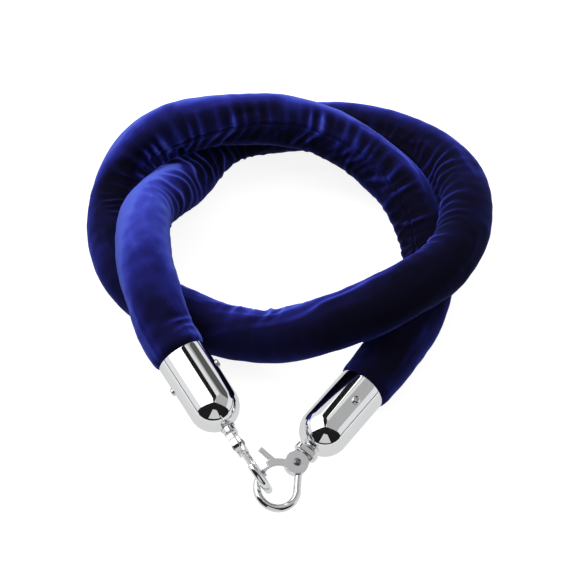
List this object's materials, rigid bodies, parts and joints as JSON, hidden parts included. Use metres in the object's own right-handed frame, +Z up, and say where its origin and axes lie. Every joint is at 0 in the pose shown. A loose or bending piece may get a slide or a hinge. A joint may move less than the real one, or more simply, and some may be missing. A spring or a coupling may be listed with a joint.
{
  "type": "velvet barrier rope",
  "caption": "Padded velvet barrier rope, coiled, with domed metal end caps and swivelling trigger snap hooks clipped together.",
  "frame": {"origin": "middle of the coiled rope's footprint, on the surface it lies on", "axes": "+Z up; the two clipped hooks lie towards -Y; +X to the right seen from that side"},
  "size_m": [0.2846, 0.3454, 0.0751],
  "materials": {
    "velvet": "royal blue cotton velvet, short dense pile",
    "foam": "soft polyurethane foam, hidden",
    "cap_chrome": "mirror chrome plate on spun steel",
    "plug_wood": "plain turned softwood, hidden",
    "screw_chrome": "bright plated steel",
    "washer_steel": "turned steel",
    "hook_chrome": "chrome plate on zinc die casting",
    "trigger_chrome": "satin chrome on stamped plate",
    "rivet_steel": "peened steel",
    "spring_steel": "spring wire, hidden"
  },
  "bodies": {
    "rope": {"velvet_cover": "velvet", "foam_core": "foam", "end_cap_left": "cap_chrome", "end_cap_right": "cap_chrome", "end_plug_left": "plug_wood", "end_plug_right": "plug_wood", "cap_screws_left": "screw_chrome", "cap_screws_right": "screw_chrome", "backing_washer_left": "washer_steel", "backing_washer_right": "washer_steel", "swivel_washer_left": "washer_steel", "swivel_washer_right": "washer_steel"},
    "hook_left": {"swivel_stud_left": "hook_chrome", "hook_body_left": "hook_chrome", "pivot_rivet_left": "rivet_steel", "trigger_spring_left": "spring_steel"},
    "trigger_left": {"trigger_lever_left": "trigger_chrome"},
    "hook_right": {"swivel_stud_right": "hook_chrome", "hook_body_right": "hook_chrome", "pivot_rivet_right": "rivet_steel", "trigger_spring_right": "spring_steel"},
    "trigger_right": {"trigger_lever_right": "trigger_chrome"}
  },
  "joints": [
    {"name": "hook_swivel_left", "type": "hinge", "parent": "rope", "child": "hook_left", "pos_m": [-0.03718, -0.12177, 0.02761], "axis": [0.5409, -0.8114, -0.2213], "range_deg": [-6, 6]},
    {"name": "trigger_left", "type": "hinge", "parent": "hook_left", "child": "trigger_left", "pos_m": [-0.02998, -0.13256, 0.02466], "axis": [0.8293, 0.4707, 0.3014], "range_deg": [0, 22], "stiffness_Nm_per_rad": 0.05, "springref_deg": -20.05},
    {"name": "hook_swivel_right", "type": "hinge", "parent": "rope", "child": "hook_right", "pos_m": [0.01376, -0.1301, 0.01607], "axis": [-0.612, -0.7905, -0.0255], "range_deg": [-6, 6]},
    {"name": "trigger_right", "type": "hinge", "parent": "hook_right", "child": "trigger_right", "pos_m": [0.00562, -0.14061, 0.01573], "axis": [0.2163, -0.1983, 0.956], "range_deg": [0, 22], "stiffness_Nm_per_rad": 0.05, "springref_deg": -20.05}
  ]
}
